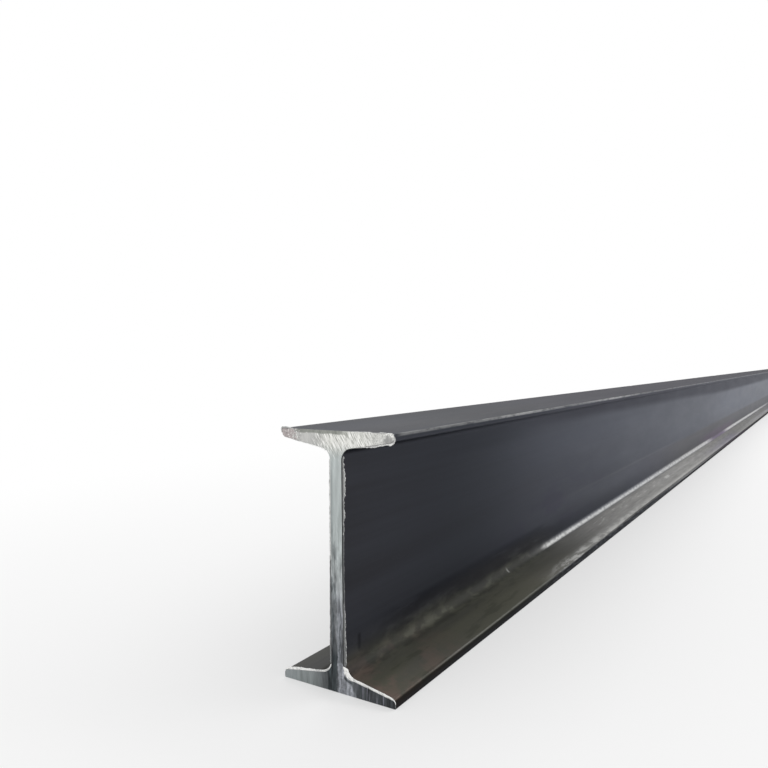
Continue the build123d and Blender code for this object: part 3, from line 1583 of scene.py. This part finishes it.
class ShapeTree:
    """A geometry tree with named inputs for its sizes."""

    NAME = ""
    INPUTS: dict[str, float] = {}

    def __init__(self) -> None:
        """Starts the tree: its inputs, its output and the board for its nodes."""
        self.tree = bpy.data.node_groups.new(self.NAME, "GeometryNodeTree")
        self.tree.interface.new_socket("Geometry", in_out="INPUT", socket_type="NodeSocketGeometry")
        for name, value in self.INPUTS.items():
            socket = self.tree.interface.new_socket(name, in_out="INPUT", socket_type="NodeSocketFloat")
            socket.default_value = value
        self.tree.interface.new_socket("Geometry", in_out="OUTPUT", socket_type="NodeSocketGeometry")
        self.board = Board(self.tree)
        given = self.board.add("NodeGroupInput")
        self.shape = Socket(self.board, given.outputs[0])
        self.size = {name: Socket(self.board, given.outputs[name]) for name in self.INPUTS}

    def dress(self, shape: Socket, finish: bpy.types.Material) -> Socket:
        """Makes the shape real and gives it its main finish.

        Args:
            shape: the shape.
            finish: the material.

        Returns:
            The finished shape.
        """
        whole = self.board.out("GeometryNodeRealizeInstances", sockets={"Geometry": shape})
        return self.board.out("GeometryNodeSetMaterial", sockets={"Geometry": whole, "Material": finish})

    def settle(self, piece: bpy.types.Object, values: dict[str, float]) -> None:
        """Runs the tree on a piece and keeps the result as its plain mesh.

        Args:
            piece: the piece, a mesh.
            values: the inputs to set, by name.
        """
        modifier = piece.modifiers.new(self.tree.name, "NODES")
        modifier.node_group = self.tree
        for item in self.tree.interface.items_tree:
            if item.in_out == "INPUT" and item.name in values:
                modifier[item.identifier] = values[item.name]
        graph = bpy.context.evaluated_depsgraph_get()
        graph.update()
        mesh = bpy.data.meshes.new_from_object(piece.evaluated_get(graph))
        piece.modifiers.remove(modifier)
        mesh.name = piece.name
        piece.data = mesh


class ReliefTree(ShapeTree):
    """Geometry nodes that give the beam the roll's slow waves and the saw's kerfs."""

    NAME = "rolled_relief"
    INPUTS = {
        "Wave Height": 0.3 * MM,
        "Wave Length": 0.9,
        "Wave Turns": 9.0,
        "Kerf Depth": 0.12 * MM,
        "Kerf Pitch": 2.6 * MM,
        "Kerf Drift": 6.0,
        "Blade Y": 0.5,
        "Blade Z": -0.2,
        "Seed": 4.0,
    }

    def __init__(self, rolled: bpy.types.Material, sawn_finish: bpy.types.Material) -> None:
        """Builds the tree.

        Args:
            rolled: the sides' finish.
            sawn_finish: the ends' finish.
        """
        super().__init__()
        board, size = self.board, self.size
        x, y, z = board.parts(board.out("GeometryNodeInputPosition"))
        normal = board.out("GeometryNodeInputNormal")
        sawn = board.carried("FLOAT", "sawn")
        turns = size["Wave Turns"]
        wave = board.stretched(x / size["Wave Length"], y * turns, z * turns + size["Seed"], 2, 0.5)
        waves = board.scaled(normal, (sawn - 1) * wave * size["Wave Height"])
        dy, dz = y - size["Blade Y"], z - size["Blade Z"]
        radius = (dy * dy + dz * dz) ** 0.5
        kerf = board.stretched(radius / size["Kerf Pitch"], dz * size["Kerf Drift"], size["Seed"], 3, 0.6)
        cuts = board.scaled(normal, 0 - kerf * size["Kerf Depth"] * sawn)
        sockets = {"Geometry": self.shape, "Offset": board.summed(waves, cuts)}
        sides = self.dress(board.out("GeometryNodeSetPosition", sockets=sockets), rolled)
        ends = board.carried("BOOLEAN", "end_face")
        sockets = {"Geometry": sides, "Selection": ends, "Material": sawn_finish}
        dressed = board.out("GeometryNodeSetMaterial", sockets=sockets)
        board.add("NodeGroupOutput", sockets={"Geometry": dressed})


@dataclass(frozen=True)
class BurrRun:
    """One run of burr along the rim of a sawn end. Lengths are in millimetres."""

    first: Corner
    first_past: float
    last: Corner
    last_past: float
    heights: tuple[float, ...]
    torn: float = 0.2
    back: float = 0.2
    # How much painted light the burr shows.
    painted_light: float = 1.0

    def height_at(self, share: float) -> float:
        """Reads the lip's height off the run's heights.

        Args:
            share: how far along the run, from 0 to 1.

        Returns:
            The height.
        """
        spot = share * (len(self.heights) - 1)
        i = min(int(spot), len(self.heights) - 2)
        return self.heights[i] + (self.heights[i + 1] - self.heights[i]) * (spot - i)


class BurrTree(ShapeTree):
    """Geometry nodes that raise a torn lip along a line, from the attributes that the line's points carry."""

    NAME = "burr_lip"
    INPUTS = {
        "Step": 0.5 * MM,
        "Thickness": 0.9 * MM,
        "Sink": 0.3 * MM,
        "Lean": 0.5 * MM,
        "Facing": -1.0,
        "Tear Size": 4.0 * MM,
        "Seed": 2.0,
    }
    SIDES = 8
    FULL_BODY = 1.0 * MM
    FULL_LEAN = 2.0 * MM
    THINNEST = 0.3
    TAPER = 0.55
    RAGGEDNESS = 5.0
    LOWEST = 0.15
    GAP_FREQUENCY = 0.35

    def __init__(self, finish: bpy.types.Material) -> None:
        """Builds the tree.

        Args:
            finish: the burr's material.
        """
        super().__init__()
        board, size = self.board, self.size
        tube = self._tube()
        base = board.carried("FLOAT_VECTOR", "base")
        turn = board.carried("FLOAT", "around") * (2 * math.pi)
        rise = 0.5 - 0.5 * turn.cosine()
        lip = self._torn_lip(base)
        up = board.scaled(board.carried("FLOAT_VECTOR", "outward"), lip * rise - size["Sink"])
        body = (lip / self.FULL_BODY).smallest(1.0).largest(self.THINNEST) * size["Thickness"] * 0.5
        lean = size["Lean"] * rise * rise * (lip / self.FULL_LEAN).smallest(1.0)
        forward = turn.sine() * body * (1 - rise * self.TAPER) + lean - board.carried("FLOAT", "back")
        front = board.vector(forward * size["Facing"], 0.0, 0.0)
        place = board.summed(board.summed(base, up), front)
        tube = self._store(tube, "FLOAT", "crest", rise)
        shape = board.out("GeometryNodeSetPosition", sockets={"Geometry": tube, "Position": place})
        board.add("NodeGroupOutput", sockets={"Geometry": self.dress(shape, finish)})

    def _tube(self) -> Socket:
        """Turns the line into a closed tube, whose points carry their place on the line and round the tube.

        Returns:
            The tube.
        """
        board = self.board
        line = board.out("GeometryNodeMeshToCurve", sockets={0: self.shape})
        sockets = {"Curve": line, "Length": self.size["Step"]}
        line = board.out("GeometryNodeResampleCurve", {"mode": "LENGTH"}, sockets)
        line = self._store(line, "FLOAT_VECTOR", "base", board.out("GeometryNodeInputPosition"))
        ring = board.out("GeometryNodeCurvePrimitiveCircle", sockets={"Resolution": self.SIDES, "Radius": MM})
        around = board.out("GeometryNodeSplineParameter", pick="Factor")
        ring = self._store(ring, "FLOAT", "around", around)
        sockets = {"Curve": line, "Profile Curve": ring, "Fill Caps": True}
        return board.out("GeometryNodeCurveToMesh", sockets=sockets)

    def _torn_lip(self, base: Socket) -> Socket:
        """Tears the lip: ragged by fine noise, and low in the gaps of a slower one.

        Args:
            base: the place on the line.

        Returns:
            The lip's height there.
        """
        board, size = self.board, self.size
        torn = board.carried("FLOAT", "torn")
        frequency = 1 / size["Tear Size"]
        seeded = board.summed(base, board.vector(size["Seed"], 0.0, 0.0))
        ragged = board.noise(seeded, frequency, 3, 0.7)
        gaps = board.noise(seeded, frequency * self.GAP_FREQUENCY, 2, 0.5).rise(0.34, 0.44)
        share = (1 + torn * (ragged - 0.5) * self.RAGGEDNESS).largest(self.LOWEST)
        return board.carried("FLOAT", "lip") * share * (1 - torn + torn * gaps)

    def _store(self, shape: Socket, kind: str, name: str, value: Socket) -> Socket:
        """Keeps a value on the points.

        Args:
            shape: what carries it.
            kind: its type.
            name: its name.
            value: the value.

        Returns:
            The shape that carries it.
        """
        sockets = {"Geometry": shape, "Name": name, "Value": value}
        settings = {"data_type": kind, "domain": "POINT"}
        return self.board.out("GeometryNodeStoreNamedAttribute", settings, sockets)


@dataclass
class BurrFringe:
    """The lips of torn steel that the saw leaves round one end."""

    name: str
    end: End
    section: Section
    length: float
    runs: tuple[BurrRun, ...]
    path_step: float = 1.0 * MM
    step: float = 0.5 * MM
    seed: float = 2.0

    def build(self, tree: BurrTree) -> bpy.types.Object:
        """Makes the burr's mesh.

        Args:
            tree: the geometry nodes that raise the lips.

        Returns:
            The mesh object.
        """
        x = self.end.value * self.length / 2
        vertices: list[Place] = []
        edges: list[tuple[int, int]] = []
        values: dict[str, list[float]] = {"outward": [], "lip": [], "torn": [], "back": [], "painted_light": []}
        for run in self.runs:
            start = self.section.corner_girths[run.first] + run.first_past * MM
            stop = self.section.corner_girths[run.last] + run.last_past * MM
            count = max(2, round((stop - start) / self.path_step))
            for k in range(count + 1):
                place, out = self.section.at(start + (stop - start) * k / count)
                if k:
                    edges.append((len(vertices) - 1, len(vertices)))
                vertices.append((x, -place.x, place.y))
                values["outward"].extend((0.0, -out.x, out.y))
                values["lip"].append(run.height_at(k / count) * MM)
                values["torn"].append(run.torn)
                values["back"].append(run.back * MM)
                values["painted_light"].append(run.painted_light)
        mesh = bpy.data.meshes.new(self.name)
        mesh.from_pydata(vertices, edges, [])
        for name, numbers in values.items():
            if name == "outward":
                mesh.attributes.new(name, "FLOAT_VECTOR", "POINT").data.foreach_set("vector", numbers)
            else:
                mesh.attributes.new(name, "FLOAT", "POINT").data.foreach_set("value", numbers)
        fringe = bpy.data.objects.new(self.name, mesh)
        bpy.context.scene.collection.objects.link(fringe)
        facing = float(self.end.value)
        tree.settle(fringe, {"Facing": facing, "Step": self.step, "Seed": self.seed})
        fringe.data.shade_smooth()
        return fringe


# Each run starts and ends some millimetres past a corner, and its heights are spread evenly over it
NEAR_BURR = (
    BurrRun(
        Corner.BOTTOM_RIGHT, 1, Corner.LOWER_TOE_RIGHT, -1,
        (0.2, 0.35, 0.3), torn=0.3, back=0.2, painted_light=0.4,
    ),
    BurrRun(
        Corner.LOWER_TOE_RIGHT, -2, Corner.LOWER_ROOT_RIGHT, -13,
        (0.6, 1.7, 1.9, 2.0, 2.1, 2.0), torn=0.14, back=0.1,
    ),
    BurrRun(
        Corner.LOWER_ROOT_RIGHT, -14, Corner.LOWER_ROOT_RIGHT, 5.5,
        (2.0, 1.9, 2.0, 2.6, 3.4, 4.0, 4.6, 5.0, 4.9, 2.4), torn=0.03, back=0.1,
    ),
    BurrRun(
        Corner.LOWER_ROOT_RIGHT, 4, Corner.LOWER_ROOT_RIGHT, 54,
        (3.0, 3.8, 3.4, 2.9, 3.0, 2.8, 2.2), torn=0.12, back=1.1, painted_light=0.14,
    ),
    BurrRun(
        Corner.LOWER_ROOT_RIGHT, 52, Corner.LOWER_ROOT_RIGHT, 107,
        (2.2, 2.0, 1.9, 2.2), torn=0.2, back=1.3, painted_light=0.05,
    ),
    BurrRun(
        Corner.LOWER_ROOT_RIGHT, 105, Corner.UPPER_ROOT_RIGHT, -3,
        (2.0, 2.2, 2.4, 2.7, 3.7, 3.2, 2.6, 1.9), torn=0.45, back=1.5, painted_light=0.25,
    ),
    BurrRun(
        Corner.UPPER_ROOT_RIGHT, 12, Corner.TOP_RIGHT, -2,
        (0.2, 0.6, 1.1, 1.5, 1.6, 1.3, 2.1, 0.7), torn=0.5, back=1.0, painted_light=0.8,
    ),
    BurrRun(
        Corner.TOP_RIGHT, 1, Corner.TOP_RIGHT, 36,
        (0.5, 0.9, 0.7, 0.5, 0.3), torn=0.6, back=0.1, painted_light=0.9,
    ),
    BurrRun(
        Corner.TOP_LEFT, -12, Corner.TOP_LEFT, 3.5,
        (0.3, 0.9, 1.4, 1.6, 1.5, 1.6, 1.2, 0.5), torn=0.1, back=0.1, painted_light=0.6,
    ),
    BurrRun(
        Corner.UPPER_TOE_LEFT, 2, Corner.UPPER_ROOT_LEFT, -2,
        (0.2, 0.5, 0.6, 0.8), torn=0.3, back=0.1, painted_light=0.9,
    ),
    BurrRun(
        Corner.UPPER_ROOT_LEFT, 6, Corner.UPPER_ROOT_LEFT, 85,
        (0.5, 0.8, 0.7, 0.8), torn=0.3, back=0.2, painted_light=0.7,
    ),
    BurrRun(
        Corner.UPPER_ROOT_LEFT, 84, Corner.LOWER_ROOT_LEFT, -6,
        (0.8, 1.0, 1.2, 1.3), torn=0.2, back=0.2, painted_light=0.12,
    ),
    BurrRun(
        Corner.LOWER_ROOT_LEFT, -5, Corner.LOWER_TOE_LEFT, 0,
        (0.7, 1.7, 1.9, 2.0, 2.3, 2.6, 2.6, 0.9), torn=0.14, back=0.1,
    ),
)
FAR_BURR = (
    BurrRun(Corner.BOTTOM_RIGHT, 2, Corner.LOWER_ROOT_RIGHT, 10, (0.3, 0.9, 1.2, 1.0, 0.5), torn=0.2),
    BurrRun(
        Corner.LOWER_ROOT_RIGHT, 20, Corner.UPPER_ROOT_RIGHT, -6,
        (0.4, 0.9, 0.7, 1.0, 0.5), torn=0.3,
    ),
    BurrRun(Corner.UPPER_ROOT_RIGHT, 4, Corner.TOP_RIGHT, -2, (0.3, 0.7, 0.6, 0.8, 0.3), torn=0.4),
    BurrRun(Corner.UPPER_TOE_LEFT, 3, Corner.UPPER_ROOT_LEFT, -4, (0.2, 0.6, 0.5, 0.3), torn=0.3),
    BurrRun(
        Corner.UPPER_ROOT_LEFT, 8, Corner.LOWER_ROOT_LEFT, -10,
        (0.5, 1.4, 1.8, 1.5, 0.6), torn=0.45, back=0.6,
    ),
    BurrRun(Corner.LOWER_ROOT_LEFT, -4, Corner.BOTTOM_LEFT, -2, (0.6, 1.8, 1.2, 0.9, 0.3), torn=0.2),
)


@dataclass(frozen=True)
class Lamp:
    """One soft lamp: where it hangs, what it points at, its two sides, and its power in watts."""

    name: str
    spot: Place
    goal: Place
    size: Point
    power: float


LAMPS = (
    Lamp("overhead", spot=(0.0, -0.8, 3.4), goal=(0.0, 0.0, 0.0), size=(7.0, 2.4), power=110),
    Lamp("end_fill", spot=(-5.4, -1.2, 1.9), goal=(-3.0, 0.0, 0.1), size=(1.8, 1.2), power=22),
)
WHITE: Colour = (1.0, 1.0, 1.0)


@dataclass
class Studio:
    """A pale floor, soft light and the camera."""

    beam: RolledBeam
    floor_size: float = 60.0
    floor_colour: Colour = (0.86, 0.86, 0.86)
    floor_glow: float = 0.4
    fade_start: float = 0.1
    fade_stop: float = 1.2
    world_level: float = 0.70
    image_width: int = 768
    focal_pixels: float = 705.5
    sensor: float = 36.0
    nearest: float = 0.02
    furthest: float = 200.0
    camera_before_end: float = 0.4336
    camera_to_right: float = 0.3215
    camera_height: float = 0.2533
    heading: float = math.radians(32.53)
    pitch: float = math.radians(-1.586)
    roll: float = math.radians(-0.44)

    def camera(self) -> None:
        """Puts the camera where the photograph was taken from."""
        lens = bpy.data.cameras.new("camera")
        lens.sensor_width = self.sensor
        lens.lens = self.sensor * self.focal_pixels / self.image_width
        lens.clip_start = self.nearest
        lens.clip_end = self.furthest
        eye = bpy.data.objects.new("camera", lens)
        turn = Matrix.Rotation(self.heading - math.pi / 2, 4, "Z")
        tilt = Matrix.Rotation(math.pi / 2 + self.pitch, 4, "X")
        lean = Matrix.Rotation(self.roll, 4, "Z")
        before = self.beam.length / 2 + self.camera_before_end
        spot = Vector((-before, -self.camera_to_right, self.camera_height))
        eye.matrix_world = Matrix.Translation(spot) @ turn @ tilt @ lean
        bpy.context.scene.collection.objects.link(eye)
        bpy.context.scene.camera = eye

    def floor(self) -> None:
        """Lays the floor."""
        half = self.floor_size / 2
        mesh = bpy.data.meshes.new("floor")
        corners = [(-half, -half, 0), (half, -half, 0), (half, half, 0), (-half, half, 0)]
        mesh.from_pydata(corners, [], [(0, 1, 2, 3)])
        material = bpy.data.materials.new("pale_floor")
        material.use_nodes = True
        board = Board(material.node_tree)
        shader = board.out("ShaderNodeBsdfDiffuse", sockets={"Color": self.floor_colour})
        white = board.out("ShaderNodeEmission", sockets={"Color": WHITE, "Strength": 1.0})
        x, y, _ = board.parts(board.out("ShaderNodeTexCoord", pick="Object"))
        past = (abs(x) - self.beam.length / 2).largest(0.0)
        away = (past * past + y * y) ** 0.5
        glow = self.floor_glow + (1 - self.floor_glow) * away.rise(self.fade_start, self.fade_stop)
        share = self._seen(board) * glow
        surface = board.out("ShaderNodeMixShader", sockets={0: share, 1: shader, 2: white})
        board.add("ShaderNodeOutputMaterial", sockets={"Surface": surface})
        mesh.materials.append(material)
        floor = bpy.data.objects.new("floor", mesh)
        bpy.context.scene.collection.objects.link(floor)

    def _seen(self, board: Board) -> Socket:
        """Tells what is seen from what only lights the beam.

        Args:
            board: the board that needs it.

        Returns:
            1 for the camera, a reflection or a glass, and 0 for other light.
        """
        path = board.add("ShaderNodeLightPath")
        camera, glossy, glass = (
            Socket(board, path.outputs[f"Is {kind} Ray"]) for kind in ("Camera", "Glossy", "Transmission")
        )
        return camera.largest(glossy).largest(glass)

    def light(self) -> None:
        """Sets the world and the lamps."""
        world = bpy.data.worlds.new("studio")
        bpy.context.scene.world = world
        world.use_nodes = True
        board = Board(world.node_tree)
        level = self.world_level + (1 - self.world_level) * self._seen(board)
        back = board.out("ShaderNodeBackground", sockets={"Color": WHITE, "Strength": level})
        board.add("ShaderNodeOutputWorld", sockets={"Surface": back})
        for lamp in LAMPS:
            self._hang(lamp)

    def _hang(self, lamp: Lamp) -> None:
        """Adds one lamp.

        Args:
            lamp: the lamp.
        """
        light = bpy.data.lights.new(lamp.name, "AREA")
        light.shape = "RECTANGLE"
        light.size, light.size_y = lamp.size
        light.energy = lamp.power
        holder = bpy.data.objects.new(lamp.name, light)
        aim = (Vector(lamp.goal) - Vector(lamp.spot)).to_track_quat("-Z", "X")
        holder.matrix_world = Matrix.Translation(Vector(lamp.spot)) @ aim.to_matrix().to_4x4()
        bpy.context.scene.collection.objects.link(holder)


def main() -> None:
    """Builds the beam's looks and the studio round it."""
    low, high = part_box(NODE)
    section = Section(depth=high.z - low.z, width=high.y - low.y)
    beam = RolledBeam(section=section, length=high.x - low.x)
    skin = beam.build()
    blade_y, blade_z = beam.blade_centre
    relief = ReliefTree(MillScale().build(beam), SawnSteel().build(beam))
    sizes = {"Wave Height": beam.wave_height, "Kerf Depth": beam.kerf_depth}
    relief.settle(skin, {"Blade Y": blade_y, "Blade Z": blade_z, **sizes})
    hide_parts(NODE)
    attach(skin, BODY)
    LOG.info("i_beam_skin: %d faces", len(skin.data.polygons))

    burr_tree = BurrTree(BurrSteel().build())
    fringes = (
        BurrFringe("near_end_burr", End.NEAR, section, beam.length, NEAR_BURR),
        BurrFringe("far_end_burr", End.FAR, section, beam.length, FAR_BURR, step=1.0 * MM, seed=5.0),
    )
    for fringe in fringes:
        piece = fringe.build(burr_tree)
        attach(piece, BODY)
        LOG.info("%s: %d faces", piece.name, len(piece.data.polygons))

    studio = Studio(beam)
    studio.camera()
    studio.floor()
    studio.light()
    bpy.context.scene.view_settings.view_transform = "Standard"


if __name__ == "__main__":
    main()
